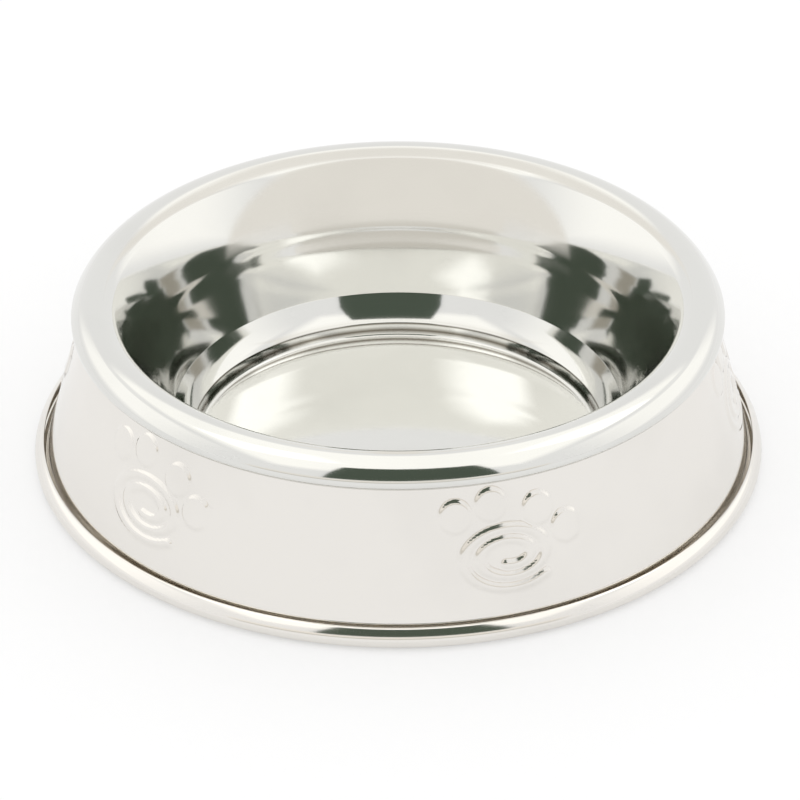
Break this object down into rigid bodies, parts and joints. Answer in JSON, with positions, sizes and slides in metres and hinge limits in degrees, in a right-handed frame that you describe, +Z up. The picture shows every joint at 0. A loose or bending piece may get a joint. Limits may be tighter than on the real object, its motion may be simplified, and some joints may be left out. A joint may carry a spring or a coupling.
{
  "type": "pet bowl with ant moat",
  "caption": "Round steel pet bowl: a dish with a rolled rim hung in a conical skirt with pressed paw prints, a moat-like rolled foot and a rubber ring below.",
  "frame": {"origin": "on the bowl's axis, on the plane that the rubber ring stands on", "axes": "+Z up along the bowl's axis; -Y towards the side that the picture shows in front; +X to its right"},
  "size_m": [0.254, 0.254, 0.0635],
  "materials": {
    "polished_steel": "mirror-polished stainless steel sheet",
    "black_rubber": "matt black moulded rubber"
  },
  "bodies": {
    "root": {"inner_bowl": "polished_steel", "outer_skirt": "polished_steel", "anti_skid_ring": "black_rubber"}
  },
  "joints": []
}
